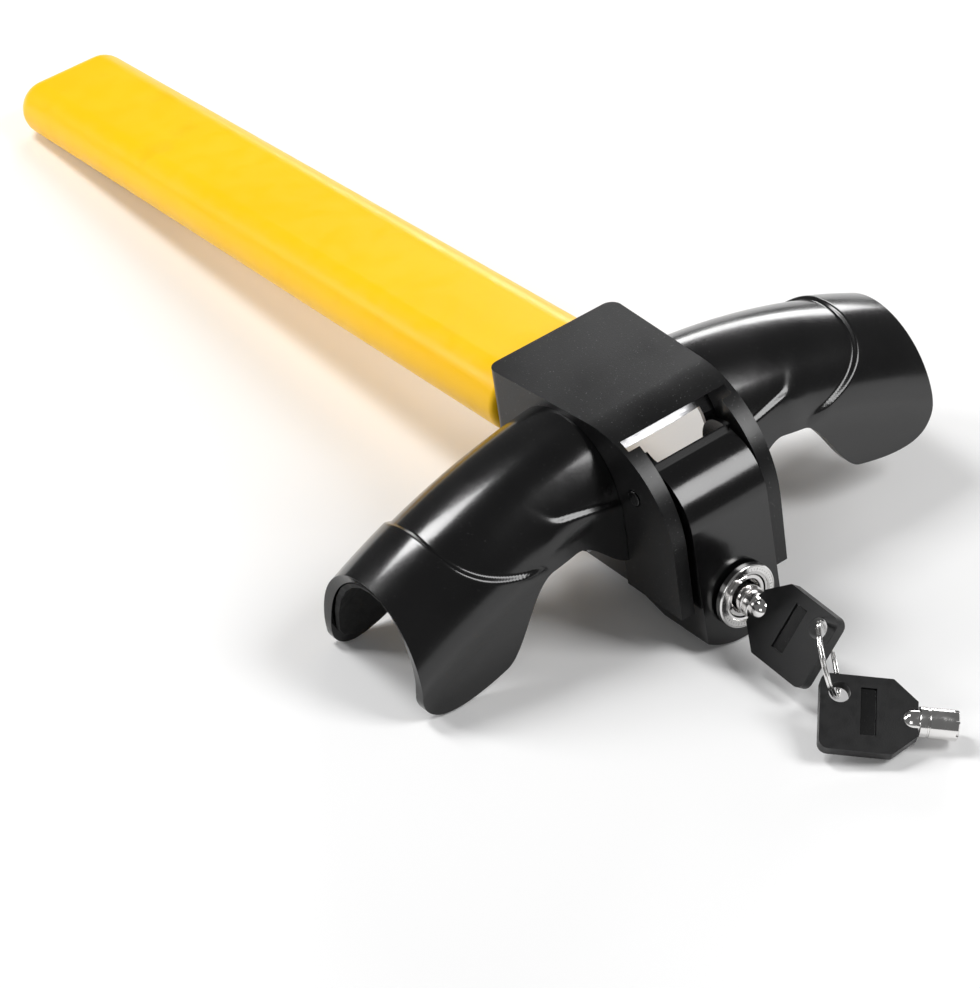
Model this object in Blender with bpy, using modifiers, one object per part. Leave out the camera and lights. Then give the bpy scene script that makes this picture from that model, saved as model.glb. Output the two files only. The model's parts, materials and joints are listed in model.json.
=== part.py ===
"""Steering wheel lock that clamps on the top of the rim, with a bar that lies over the dashboard.

Working frame (the lock's own axes, millimetres): X runs along the saddle, Y from the driver towards
the bar's free end, Z up. Its zero is the centre of the wheel's rim at the middle of the saddle.
The finished lock hangs under one empty that lays it down as it rests on a table: on the bar's end,
the jaw's lower edge and the left saddle lobe. The world origin is the middle of the rim pad's seat.
"""
import math

import bmesh
import bpy
from mathutils import Euler, Matrix, Vector

MM = 0.001

# Resting pose
REST_PITCH = 6.09
REST_ROLL = 4.83

# Steering wheel rim and saddle
RIM_R = 205.0
SADDLE_R = 24.0
SADDLE_WALL = 2.2
SADDLE_IN_X = 26.0
SADDLE_END_X = 102.0
SADDLE_END_SLOPE = -0.03
LOBE_DEPTH = 21.8
LOBE_CORNER = (38.0, 20.8)
BACK_LOBE_DEPTH = 13.0
BACK_CORNER = (26.0, 12.0)
ARCH_DEPTH = 4.0
BACK_ARCH_DEPTH = 12.0
FIT_GAP = 0.3
LINER_WALL = 1.9
LINER_IN_X = 34.8
CORE_R = 21.3
CORE_WALL = 1.6
CORE_HALF = 34.0
CORE_SKIRT = 10.5
PAD_SEAT_Z = 15.5
PAD_R = 18.6
PAD_HALF = 13.0

# Cover: top plate, side walls and cheeks in one shell
COVER_TOP = 24.5
COVER_BACK = 34.0
COVER_FRONT = -46.5
COVER_W_BACK = 25.0
COVER_W_FRONT = 21.0
CHEEK_R = 34.0
CHEEK_LOW_FRONT = -33.5
CHEEK_LOW_BACK = -31.2
CHEEK_BACK_Y = -22.5
WALL_LOW = -6.0
WINDOW_HALF = 16.0
WINDOW_BACK = -29.0
PLATE_T = 2.5
BODY_HALF = 20.2

# Bar
BAR_Y = 35.6
BAR_Z = 5.2
BAR_TILT = 0.84
BAR_END = 329.0
BAR_W = (24.2, 22.0)
BAR_T = (11.4, 10.2)
BAR_ROUND = 8.0
CORE_BAR_W = 20.0
CORE_BAR_T = 7.5
CORE_BAR_WALL = 2.0
CORE_BAR_LEN = 264.0
SPIGOT_LEN = 30.0

# Jaw
JAW_HALF = 14.7
JAW_WALL = 1.8
DRUM_Y, DRUM_Z, DRUM_R = -30.5, -5.2, 17.8
FACE_LOW_Y, FACE_LOW_Z = -50.0, -44.5
LIP_DROP = 4.8
PIVOT_Y, PIVOT_Z = -31.0, 5.0
EAR_R = 9.5
PIN_R = 2.5
CRADLE_R = 20.9

# Lock: axis parallel to Y, depths are measured forwards from the rim centre
LOCK_Z = -33.0
LOCK_FRONT = 51.9
BODY_R = 7.0
NUT_R = 9.6
BORE_R = 5.65
PLUG_R = 5.4
POST_R = 3.15
POST_FRONT = 50.9
SLOT_FLOOR = 44.8
FLANGE_R = 10.7
TUMBLERS = 7
TUMBLER_CIRCLE = 4.35
PINION_TEETH = 10
MODULE = 0.8
RACK_Z = LOCK_Z + MODULE * PINION_TEETH / 2
BOLT_TOP = LOCK_Z + 9.2
BOLT_NEAR, BOLT_FAR = 26.6, 30.6

# Keys and ring
KEY_TURN = 48.5
KEY_DROOP = 7.0
KEY_R = 4.7
KEY_BORE_R = 3.7
BARREL_LEN = 12.0
BOW_FRONT = 57.6
BOW_NECK = 5.6
BOW_HALF = 12.2
BOW_SHOULDER = 7.4
BOW_LEN = 29.3
BOW_CORNER = 3.0
BOW_T = 4.0
BOW_HOLE = (6.3, -23.5)
BOW_HOLE_R = 3.3
RING_R = 11.64
RING_WIRE = 0.85
RING_CENTRE = Vector((-1.5, -90.6, -35.4))
RING_NORMAL = Vector((0.751, -0.636, 0.177))
SPARE_NECK = Vector((8.65, -116.7, -50.45))
SPARE_AZIMUTH = -39.4
SPARE_LEAN = 24.2
SPARE_DIP = 5.7


def clear_scene():
    for old in list(bpy.data.objects):
        bpy.data.objects.remove(old, do_unlink=True)


def new_collection(name):
    collection = bpy.data.collections.new(name)
    bpy.context.scene.collection.children.link(collection)
    return collection


clear_scene()
LOCK = new_collection("steering_wheel_lock")
CUTTERS = new_collection("cutters")


def material(name, colour, roughness, metallic):
    mat = bpy.data.materials.new(name)
    mat.use_nodes = True
    shader = mat.node_tree.nodes["Principled BSDF"]
    shader.inputs["Base Color"].default_value = (*colour, 1.0)
    shader.inputs["Roughness"].default_value = roughness
    shader.inputs["Metallic"].default_value = metallic
    return mat


SATIN_BLACK = material("satin_black_steel", (0.030, 0.030, 0.032), 0.45, 0.2)
GLOSS_BLACK = material("gloss_black_steel", (0.012, 0.012, 0.013), 0.18, 0.1)
YELLOW = material("yellow_sleeve", (0.95, 0.62, 0.02), 0.35, 0.0)
CHROME = material("chrome", (0.80, 0.80, 0.82), 0.10, 1.0)
STEEL = material("plain_steel", (0.45, 0.45, 0.46), 0.35, 1.0)
BRASS = material("brass", (0.70, 0.52, 0.22), 0.30, 1.0)
RUBBER = material("black_rubber", (0.020, 0.020, 0.020), 0.80, 0.0)
PLASTIC = material("black_plastic", (0.025, 0.025, 0.027), 0.40, 0.0)


def empty(name, parent=None, location=(0, 0, 0), rotation=(0, 0, 0), order="XYZ"):
    frame = bpy.data.objects.new(name, None)
    frame.empty_display_size = 0.02
    frame.rotation_mode = order
    frame.rotation_euler = rotation
    frame.location = Vector(location) * MM
    frame.parent = parent
    LOCK.objects.link(frame)
    return frame


def resting_frame():
    """The empty that carries the whole lock, with the rim pad's seat at the world origin."""
    turn = Euler((math.radians(-REST_PITCH), math.radians(-REST_ROLL), 0.0), "ZYX")
    seat = turn.to_matrix() @ Vector((0, 0, PAD_SEAT_Z))
    return empty("resting_pose", location=-seat, rotation=turn, order="ZYX")


REST = resting_frame()
BAR_FRAME = empty("bar_axis", REST, (0, BAR_Y, BAR_Z), (math.radians(-BAR_TILT), 0, 0))


def place(obj, mat=None, parent=REST, origin=(0, 0, 0)):
    """Parent obj at an origin given in millimetres and give it its material."""
    obj.parent = parent
    obj.location = Vector(origin) * MM
    if mat:
        obj.data.materials.clear()
        obj.data.materials.append(mat)
    return obj


def object_from_bmesh(name, bm, collection=LOCK):
    bmesh.ops.recalc_face_normals(bm, faces=bm.faces)
    mesh = bpy.data.meshes.new(name)
    bm.to_mesh(mesh)
    bm.free()
    obj = bpy.data.objects.new(name, mesh)
    collection.objects.link(obj)
    return obj


def curve_to_mesh(name, curve, collection=LOCK):
    """A closed mesh object from a filled or bevelled curve, with its caps welded."""
    source = bpy.data.objects.new(name + "_curve", curve)
    collection.objects.link(source)
    depsgraph = bpy.context.evaluated_depsgraph_get()
    mesh = bpy.data.meshes.new_from_object(source.evaluated_get(depsgraph))
    bpy.data.objects.remove(source, do_unlink=True)
    bm = bmesh.new()
    bm.from_mesh(mesh)
    bpy.data.meshes.remove(mesh)
    bmesh.ops.remove_doubles(bm, verts=bm.verts, dist=0.002 * MM)
    return object_from_bmesh(name, bm, collection)


def flat_outline(name, loops, half, axis="X", collection=LOCK):
    """A plate of thickness 2*half. Each loop is a closed list of 2D points in millimetres.

    axis X: points are (y, z). axis Y: points are (x, z) seen from the front. axis Z: points (x, y).
    """
    curve = bpy.data.curves.new(name, "CURVE")
    curve.dimensions = "2D"
    curve.fill_mode = "BOTH"
    curve.extrude = half * MM
    for loop in loops:
        spline = curve.splines.new("POLY")
        spline.points.add(len(loop) - 1)
        for point, (u, v) in zip(spline.points, loop):
            point.co = (u * MM, v * MM, 0.0, 1.0)
        spline.use_cyclic_u = True
    obj = curve_to_mesh(name, curve, collection)
    turns = {"X": (math.pi / 2, 0, math.pi / 2), "Y": (math.pi / 2, 0, 0), "Z": (0, 0, 0)}
    obj.data.transform(Euler(turns[axis]).to_matrix().to_4x4())
    return obj


def box(name, low, high, collection=CUTTERS):
    bm = bmesh.new()
    size = [(b - a) * MM for a, b in zip(low, high)]
    middle = [(a + b) / 2 * MM for a, b in zip(low, high)]
    bmesh.ops.create_cube(bm, size=1.0)
    bmesh.ops.transform(bm, matrix=Matrix.Diagonal((*size, 1.0)), verts=bm.verts)
    bmesh.ops.translate(bm, vec=middle, verts=bm.verts)
    return object_from_bmesh(name, bm, collection)


def cylinder(name, radius, start, end, segments=24, collection=CUTTERS):
    """A cylinder between two points given in millimetres."""
    start, end = Vector(start), Vector(end)
    bm = bmesh.new()
    bmesh.ops.create_cone(bm, cap_ends=True, segments=segments, radius1=radius * MM,
                          radius2=radius * MM, depth=(end - start).length * MM)
    turn = (end - start).to_track_quat("Z", "Y").to_matrix().to_4x4()
    shift = Matrix.Translation((start + end) / 2 * MM)
    bmesh.ops.transform(bm, matrix=shift @ turn, verts=bm.verts)
    return object_from_bmesh(name, bm, collection)


def turned(name, profile, steps=24, closed=True, turn=(math.pi / 2, 0, 0)):
    """A Screw body from (radius, height) points in millimetres that run down its outer side.

    The default turn lays the height axis along -Y, so height is the distance towards the driver.
    """
    mesh = bpy.data.meshes.new(name)
    points = [(r * MM, 0.0, h * MM) for r, h in profile]
    edges = [(i, i + 1) for i in range(len(points) - 1)]
    if closed:
        edges.append((len(points) - 1, 0))
    mesh.from_pydata(points, edges, [])
    obj = bpy.data.objects.new(name, mesh)
    LOCK.objects.link(obj)
    obj.rotation_euler = turn
    screw = obj.modifiers.new("turn", "SCREW")
    screw.steps = steps
    screw.render_steps = steps
    screw.use_merge_vertices = True
    screw.merge_threshold = 0.005 * MM
    screw.use_smooth_shade = True
    return obj


def boolean(obj, cutter, parent=REST):
    """Cut obj with a cutter that lives in the same millimetre frame."""
    if cutter.parent is None:
        cutter.parent = parent
    cutter.hide_render = True
    cutter.display_type = "WIRE"
    modifier = obj.modifiers.new(cutter.name, "BOOLEAN")
    modifier.object = cutter
    modifier.solver = "EXACT"
    return obj


def arc(centre, radius, first, last, count):
    """Points on an arc, angles in degrees from the first axis towards the second."""
    points = []
    for i in range(count + 1):
        angle = math.radians(first + (last - first) * i / count)
        points.append((centre[0] + radius * math.cos(angle), centre[1] + radius * math.sin(angle)))
    return points


def ease(value, start, end, first, last):
    """Smooth cosine change from first to last as value goes from start to end."""
    t = min(max((value - start) / (end - start), 0.0), 1.0)
    return first + (last - first) * (1 - math.cos(math.pi * t)) / 2


# ---- saddle -------------------------------------------------------------------------------------

def lobe_corner(x, end_x, corner):
    """How much of a skirt's depth its elliptical end corner takes away, corner is its length and height."""
    length, height = corner
    reach = x - (end_x - length)
    if reach <= 0:
        return 0.0
    return height * (1 - math.sqrt(max(1 - (reach / length) ** 2, 0.0)))


def front_depth(x, end_x):
    """Depth of the front skirt under the rim centre line: cheek side, arch, lobe."""
    arch = ease(x, 24, 44, 20, ARCH_DEPTH)
    return ease(x, 52, 72, arch, LOBE_DEPTH) - lobe_corner(x, end_x, LOBE_CORNER)


def back_depth(x, end_x):
    return ease(x, 60, 80, BACK_ARCH_DEPTH, BACK_LOBE_DEPTH) - lobe_corner(x, end_x, BACK_CORNER)


def liner_depth(skirt_depth, x, end_x):
    """The liner stops a little short of the skirt's edge."""
    return max(skirt_depth(x, end_x) - 1.5, 0.5)


def saddle_end(height):
    """Where the saddle ends, leaning a little inwards with height over the rim centre line."""
    return SADDLE_END_X + SADDLE_END_SLOPE * height


def channel(name, side, radius, wall, start_x, end_x, front, back, stations, mat):
    """A curved channel over the rim: an open sheet along the rim's arc, thickened inwards.

    end_x gives the end for a height over the centre line, front and back the skirt depths at x.
    """
    flank, crown = 4, 12
    limit = end_x(0.0)
    rows = []
    for i in range(stations + 1):
        t = math.sin(math.pi / 2 * i / stations)
        x_mid = start_x + t * (limit - start_x)
        depth_front, depth_back = front(x_mid, limit), back(x_mid, limit)
        profile = [(-radius, -depth_front * (1 - k / flank)) for k in range(flank)]
        profile += [(-radius * math.cos(math.pi * k / crown), radius * math.sin(math.pi * k / crown))
                    for k in range(crown + 1)]
        profile += [(radius, -depth_back * k / flank) for k in range(1, flank + 1)]
        row = []
        for y, height in profile:
            x = start_x + t * (end_x(height) - start_x)
            z = math.sqrt((RIM_R + height) ** 2 - x ** 2) - RIM_R
            row.append((side * x * MM, y * MM, z * MM))
        rows.append(row)
    bm = bmesh.new()
    grid = [[bm.verts.new(point) for point in row] for row in rows]
    for near, far in zip(grid, grid[1:]):
        for k in range(len(near) - 1):
            quad = (near[k], far[k], far[k + 1], near[k + 1])
            bm.faces.new(quad if side > 0 else quad[::-1])
    for face in bm.faces:
        face.smooth = True
    mesh = bpy.data.meshes.new(name)
    bm.to_mesh(mesh)
    bm.free()
    obj = bpy.data.objects.new(name, mesh)
    LOCK.objects.link(obj)
    shell = obj.modifiers.new("wall", "SOLIDIFY")
    shell.thickness = wall * MM
    shell.offset = -1.0
    shell.use_rim = True
    return place(obj, mat)


def build_saddle():
    for name, side in (("left", -1), ("right", 1)):
        channel("saddle_" + name, side, SADDLE_R, SADDLE_WALL, SADDLE_IN_X, saddle_end,
                front_depth, back_depth, 20, GLOSS_BLACK)
        channel("liner_" + name, side, SADDLE_R - SADDLE_WALL - FIT_GAP, LINER_WALL, LINER_IN_X,
                lambda h: saddle_end(h) - 1.5,
                lambda x, e: liner_depth(front_depth, x, e), lambda x, e: liner_depth(back_depth, x, e),
                16, RUBBER)


def build_rim_channel():
    """Steel channel through the cover, open at the front between the cheeks, and its rim pad."""
    core = channel_between_arms()
    opening = box("jaw_opening", (-16.3, -30, -30), (16.3, -2, 12))
    boolean(core, opening)
    half_angle = math.degrees(math.acos(PAD_SEAT_Z / PAD_R))
    outline = arc((0, 0), PAD_R, 90 - half_angle, 90 + half_angle, 10)
    place(flat_outline("rim_pad", [outline], PAD_HALF), RUBBER)


def channel_between_arms():
    """The same section as the saddle arms, but straight ended and reaching to both sides."""
    flank, crown, stations = 2, 12, 12
    bm = bmesh.new()
    grid = []
    for i in range(stations + 1):
        x = CORE_HALF * (2 * i / stations - 1)
        profile = [(-CORE_R, -CORE_SKIRT * (1 - k / flank)) for k in range(flank)]
        profile += [(-CORE_R * math.cos(math.pi * k / crown), CORE_R * math.sin(math.pi * k / crown))
                    for k in range(crown + 1)]
        profile += [(CORE_R, -CORE_SKIRT * k / flank) for k in range(1, flank + 1)]
        grid.append([bm.verts.new((x * MM, y * MM, (math.sqrt((RIM_R + h) ** 2 - x * x) - RIM_R) * MM))
                     for y, h in profile])
    for near, far in zip(grid, grid[1:]):
        for k in range(len(near) - 1):
            bm.faces.new((near[k], far[k], far[k + 1], near[k + 1]))
    mesh = bpy.data.meshes.new("rim_channel")
    bm.to_mesh(mesh)
    bm.free()
    obj = bpy.data.objects.new("rim_channel", mesh)
    LOCK.objects.link(obj)
    shell = obj.modifiers.new("wall", "SOLIDIFY")
    shell.thickness = CORE_WALL * MM
    shell.offset = -1.0
    return place(obj, STEEL)


# ---- cover --------------------------------------------------------------------------------------

def cover_half_width(y):
    share = (y - COVER_FRONT) / (COVER_BACK - COVER_FRONT)
    return COVER_W_FRONT + (COVER_W_BACK - COVER_W_FRONT) * share


def bolt_opening(name, near, far):
    """Cutter with a running gap round the deadbolt, from one X to another."""
    return box(name, (near, -BOLT_FAR - 0.4, RACK_Z + 0.4), (far, -BOLT_NEAR + 0.4, BOLT_TOP + 0.5))


def build_cover():
    """Top plate, side walls and cheeks as one shell that narrows towards the driver."""
    cheek_y = COVER_FRONT + CHEEK_R
    outline = [(COVER_BACK, COVER_TOP)]
    outline += arc((cheek_y, COVER_TOP - CHEEK_R), CHEEK_R, 90, 180, 14)
    outline += [(COVER_FRONT, CHEEK_LOW_FRONT), (CHEEK_BACK_Y, CHEEK_LOW_BACK),
                (CHEEK_BACK_Y, WALL_LOW), (COVER_BACK, WALL_LOW)]
    cover = flat_outline("cover_shell", [outline], COVER_W_BACK)
    for vertex in cover.data.vertices:
        side = math.copysign(1.0, vertex.co.x)
        vertex.co.x = side * cover_half_width(vertex.co.y / MM) * MM
    boolean(cover, box("window", (-WINDOW_HALF, -60, -60), (WINDOW_HALF, WINDOW_BACK, 60)))
    boolean(cover, box("body_space", (-BODY_HALF, WINDOW_BACK - 0.01, -60),
                       (BODY_HALF, 60, COVER_TOP - PLATE_T)))
    boolean(cover, cylinder("channel_space", CORE_R + 0.4, (-40, 0, 0), (40, 0, 0), 48))
    boolean(cover, box("channel_mouth", (-40, -CORE_R - 0.4, -60), (40, CORE_R + 0.4, -2)))
    boolean(cover, cylinder("pin_holes", PIN_R + 0.3, (-40, PIVOT_Y, PIVOT_Z), (40, PIVOT_Y, PIVOT_Z)))
    boolean(cover, bolt_opening("bolt_pocket", 15, 20.9))
    return place(cover, SATIN_BLACK)


# ---- bar ----------------------------------------------------------------------------------------

def stadium(half_width, radius, count=8):
    """A flat oval, points (x, z)."""
    straight = half_width - radius
    return (arc((straight, 0), radius, -90, 90, count)
            + arc((-straight, 0), radius, 90, 270, count))


def bar_plate(name, loops, start, end, mat):
    """A straight length with a flat oval section, between two distances along the bar."""
    obj = flat_outline(name, loops, (end - start) / 2, axis="Y")
    obj.data.transform(Matrix.Translation((0, (start + end) / 2 * MM, 0)))
    return place(obj, mat, BAR_FRAME) if mat else obj


def sleeve_rings(length):
    """Distance, half width and half thickness of each ring of the tapered sleeve."""
    rings = []
    nose = 2.5
    for k in range(4):
        angle = math.radians(30 * k)
        rings.append((nose * (1 - math.sin(angle)), nose * (1 - math.cos(angle))))
    rings.reverse()
    start = [(along, inset) for along, inset in rings]
    end = []
    for k in range(7):
        angle = math.radians(15 * k)
        end.append((length - BAR_ROUND * (1 - math.sin(angle)), BAR_ROUND * (1 - math.cos(angle)) * 0.95))
    sections = []
    for along, inset in start + end:
        share = along / length
        width = BAR_W[0] + (BAR_W[1] - BAR_W[0]) * share - inset
        thick = BAR_T[0] + (BAR_T[1] - BAR_T[0]) * share - inset
        sections.append((along, width, thick))
    return sections


def build_sleeve():
    """The tapered sleeve is a loft of flat ovals, bored for the steel core."""
    length = BAR_END - BAR_Y
    bm = bmesh.new()
    loops = []
    for along, width, thick in sleeve_rings(length):
        loops.append([bm.verts.new((x * MM, along * MM, z * MM)) for x, z in stadium(width, thick)])
    for near, far in zip(loops, loops[1:]):
        for k in range(len(near)):
            j = (k + 1) % len(near)
            bm.faces.new((near[k], near[j], far[j], far[k]))
    bm.faces.new(loops[0])
    bm.faces.new(loops[-1][::-1])
    sleeve = place(object_from_bmesh("bar_sleeve", bm), YELLOW, BAR_FRAME)
    bore = bar_plate("sleeve_bore", [stadium(CORE_BAR_W + FIT_GAP, CORE_BAR_T + FIT_GAP)],
                     -5, CORE_BAR_LEN + 2, None)
    CUTTERS.objects.link(bore)
    LOCK.objects.unlink(bore)
    boolean(sleeve, bore, parent=BAR_FRAME)


def build_bar():
    inner = (CORE_BAR_W - CORE_BAR_WALL, CORE_BAR_T - CORE_BAR_WALL)
    core = bar_plate("bar_core", [stadium(CORE_BAR_W, CORE_BAR_T), stadium(*inner)[::-1]],
                     0.3, CORE_BAR_LEN, STEEL)
    spigot_section = stadium(inner[0] - 0.4, inner[1] - 0.4)
    spigot = bar_plate("bar_spigot", [spigot_section], -1.2, SPIGOT_LEN, STEEL)
    bar_plate("bar_end_plug", [spigot_section], CORE_BAR_LEN - 14, CORE_BAR_LEN - 1, PLASTIC)
    for name, along in (("bar_rivet_front", 9.0), ("bar_rivet_rear", 22.0)):
        hole = cylinder(name + "_hole", 2.4, (0, along, -20), (0, along, 20), 16)
        boolean(core, hole, parent=BAR_FRAME)
        boolean(spigot, hole, parent=BAR_FRAME)
        rivet = cylinder(name, 2.0, (0, 0, -CORE_BAR_T), (0, 0, CORE_BAR_T), 16, LOCK)
        place(rivet, STEEL, BAR_FRAME, (0, along, 0))
    build_sleeve()
    seat = CORE_R + 0.7
    outline = arc((0, 0), seat, -13, 58, 10)
    outline += [(12, COVER_TOP - PLATE_T - 0.4), (BAR_Y - 1.6, COVER_TOP - PLATE_T - 0.4),
                (BAR_Y - 1.6, -5)]
    place(flat_outline("bar_bracket", [outline], BODY_HALF - 0.4), STEEL)


# ---- jaw ----------------------------------------------------------------------------------------

def jaw_outline():
    """Side view of the jaw, points (y, z): drum, face, underside, tip, rim side and ear."""
    points = arc((DRUM_Y, DRUM_Z), DRUM_R, 98, 180, 10)
    points += [(FACE_LOW_Y, FACE_LOW_Z - LIP_DROP), (FACE_LOW_Y + 5, FACE_LOW_Z - LIP_DROP),
               (-38, -44.4), (-29, -44.4), (-15, -40), (12, -39.5), (15, -37), (15, -25)]
    points += arc((0, 0), CRADLE_R, -58, -165, 12)
    points += arc((PIVOT_Y, PIVOT_Z), EAR_R, -8, 104, 8)
    return points


def jaw_pocket_outline():
    """The hollow between the jaw's side plates, open towards the rim."""
    radius = DRUM_R - JAW_WALL
    points = arc((DRUM_Y, DRUM_Z), radius, 98, 180, 8)
    points += [(-48.1, -42.6), (-29.5, -42.6), (-15.5, -38.2), (11.5, -37.7), (13.2, -36), (13.2, -10),
               (-8, 4), (-8, 40)]
    points.append((points[0][0], 40))
    return points


def build_jaw():
    frame = (0, PIVOT_Y, PIVOT_Z)
    shift = Matrix.Translation(Vector(frame) * -MM)
    shell = flat_outline("jaw_shell", [jaw_outline()], JAW_HALF)
    radius = (JAW_HALF ** 2 + LIP_DROP ** 2) / (2 * LIP_DROP)
    spread = math.degrees(math.asin(1.1 * JAW_HALF / radius))
    lip_outline = arc((0, FACE_LOW_Z + radius - LIP_DROP), radius, -90 + spread, -90 - spread, 12)
    lip_outline += [(-1.1 * JAW_HALF, FACE_LOW_Z - 12), (1.1 * JAW_HALF, FACE_LOW_Z - 12)]
    lip = flat_outline("jaw_lip_trim", [lip_outline], 8, axis="Y", collection=CUTTERS)
    lip.data.transform(Matrix.Translation((0, -46 * MM, 0)))
    boolean(shell, lip)
    boolean(shell, flat_outline("jaw_pocket", [jaw_pocket_outline()], JAW_HALF - JAW_WALL,
                                collection=CUTTERS))
    boolean(shell, cylinder("lock_hole", BODY_R + 0.35, (0, -60, LOCK_Z), (0, -44, LOCK_Z), 32))
    boolean(shell, cylinder("ear_holes", 3.9, (-20, PIVOT_Y, PIVOT_Z), (20, PIVOT_Y, PIVOT_Z)))
    boolean(shell, bolt_opening("bolt_slot", 10, 20))
    shell.data.transform(shift)
    place(shell, GLOSS_BLACK, origin=frame)
    cradle = arc((0, 0), CRADLE_R, -165, -60, 14) + arc((0, 0), CRADLE_R + 1.6, -60, -165, 14)
    place(flat_outline("jaw_cradle", [cradle], JAW_HALF - JAW_WALL - 0.3), STEEL)
    pad = arc((0, 0), CRADLE_R - 1.4, -150, -66, 12) + arc((0, 0), CRADLE_R - 0.3, -66, -150, 12)
    place(flat_outline("jaw_pad", [pad], JAW_HALF - JAW_WALL - 1), RUBBER)
    for name, side in (("pivot_bush_left", -1), ("pivot_bush_right", 1)):
        ring = [(2.8, 0.9), (3.6, 0.9), (3.6, -0.9), (2.8, -0.9)]
        bush = turned(name, ring, turn=(0, math.pi / 2, 0))
        place(bush, BRASS, origin=(side * (JAW_HALF - JAW_WALL / 2), PIVOT_Y, PIVOT_Z))


def build_pivot():
    """Riveted pin through both cheeks, and the torsion spring around it that opens the jaw."""
    reach, head = 23.6, 22.3
    profile = [(0, reach), (3.4, reach), (4.4, reach - 0.5), (4.4, head), (PIN_R, head),
               (PIN_R, -head), (4.4, -head), (4.4, -reach + 0.5), (3.4, -reach), (0, -reach)]
    pin = turned("pivot_pin", profile, closed=False, turn=(0, math.pi / 2, 0))
    place(pin, GLOSS_BLACK, origin=(0, PIVOT_Y, PIVOT_Z))
    turns, per_turn, coil_r, pitch = 5, 12, 3.7, 2.4
    curve = bpy.data.curves.new("jaw_spring", "CURVE")
    curve.dimensions = "3D"
    curve.bevel_depth = 0.5 * MM
    curve.bevel_resolution = 1
    curve.use_fill_caps = True
    spline = curve.splines.new("POLY")
    count = turns * per_turn
    spline.points.add(count)
    for i, point in enumerate(spline.points):
        angle = 2 * math.pi * i / per_turn
        along = (i / count - 0.5) * turns * pitch
        point.co = (along * MM, coil_r * math.cos(angle) * MM, coil_r * math.sin(angle) * MM, 1.0)
    place(curve_to_mesh("jaw_spring", curve), STEEL, origin=(0, PIVOT_Y, PIVOT_Z))


# ---- lock ---------------------------------------------------------------------------------------

def build_lock():
    axis = (0, 0, LOCK_Z)
    body = [(BORE_R, LOCK_FRONT), (BODY_R, LOCK_FRONT), (BODY_R, 31.8), (BORE_R, 31.8)]
    place(turned("lock_body", body, 28), STEEL, origin=axis)
    ring = [(BODY_R + 0.35, 52.1), (9.0, 52.6), (FLANGE_R - 0.6, 52.6), (FLANGE_R, 52.0),
            (FLANGE_R, 50.4), (BODY_R + 0.35, 50.4)]
    place(turned("lock_escutcheon", ring, 36), CHROME, origin=axis)
    nut = [arc((0, 0), NUT_R, 0, 300, 5), arc((0, 0), BODY_R + 0.35, 0, -345, 23)]
    place(flat_outline("lock_nut", nut, 1.3, axis="Y"), STEEL, origin=(0, -45.3, LOCK_Z))
    plug = [(0, POST_FRONT), (POST_R, POST_FRONT), (POST_R, SLOT_FLOOR), (PLUG_R, SLOT_FLOOR), (PLUG_R, 31.4),
            (1.6, 31.4), (1.6, 26.2), (0, 26.2)]
    plug_obj = place(turned("lock_plug", plug, 28, closed=False), CHROME, origin=axis)
    for k in range(TUMBLERS):
        angle = 2 * math.pi * k / TUMBLERS
        x, z = TUMBLER_CIRCLE * math.sin(angle), TUMBLER_CIRCLE * math.cos(angle) + LOCK_Z
        hole = cylinder("tumbler_hole_%d" % (k + 1), 0.75, (x, -SLOT_FLOOR - 1, z), (x, -34.8, z), 10)
        boolean(plug_obj, hole)
        pin = cylinder("tumbler_pin_%d" % (k + 1), 0.5, (0, -SLOT_FLOOR + 0.3, 0), (0, -35.4, 0), 8, LOCK)
        place(pin, BRASS, origin=(x, 0, z))


def pinion_outline():
    """Teeth about the lock axis, the first one pointing up; points (x, z)."""
    pitch_r = MODULE * PINION_TEETH / 2
    points = []
    for k in range(PINION_TEETH):
        middle = math.pi / 2 - 2 * math.pi * k / PINION_TEETH
        for radius, half in ((pitch_r - 0.85, 0.80), (pitch_r, 0.48), (pitch_r + 0.6, 0.20)):
            points.append((radius, middle + half / radius))
        for radius, half in ((pitch_r + 0.6, 0.20), (pitch_r, 0.48), (pitch_r - 0.85, 0.80)):
            points.append((radius, middle - half / radius))
    return [(r * math.cos(a), r * math.sin(a)) for r, a in points]


def rack_outline():
    """Deadbolt seen from the front, points (x, z), with rack teeth on its lower edge."""
    root, tip = RACK_Z + 0.9, RACK_Z - 0.6
    pitch = math.pi * MODULE
    points = [(14.2, root), (14.2, BOLT_TOP), (-12.3, BOLT_TOP), (-12.3, root)]
    first = -4
    for k in range(first, 1):
        middle = (k + 0.5) * pitch
        points += [(middle - 0.85, root), (middle - 0.22, tip), (middle + 0.22, tip), (middle + 0.85, root)]
    return points


def build_bolt_work():
    depth = (BOLT_FAR - BOLT_NEAR) / 2
    middle = -(BOLT_FAR + BOLT_NEAR) / 2
    bolt = flat_outline("deadbolt", [rack_outline()], depth, axis="Y")
    place(bolt, STEEL, origin=(0, middle, 0))
    hub = arc((0, 0), 1.9, 0, -330, 11)
    pinion = flat_outline("drive_pinion", [pinion_outline(), hub], depth - 0.2, axis="Y")
    place(pinion, BRASS, origin=(0, middle, LOCK_Z))


# ---- keys ---------------------------------------------------------------------------------------

def bow_outline():
    """Key grip seen flat, points (across, along); the barrel leaves towards +along."""
    inner, far = BOW_HALF - BOW_CORNER, BOW_CORNER - BOW_LEN
    outline = [(BOW_NECK, 0), (-BOW_NECK, 0)]
    outline += arc((1 - BOW_HALF, -BOW_SHOULDER - 0.4), 1, 135, 180, 2)
    outline += arc((-inner, far), BOW_CORNER, 180, 270, 5)
    outline += arc((inner, far), BOW_CORNER, 270, 360, 5)
    outline += arc((BOW_HALF - 1, -BOW_SHOULDER - 0.4), 1, 0, 45, 2)
    return outline


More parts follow.
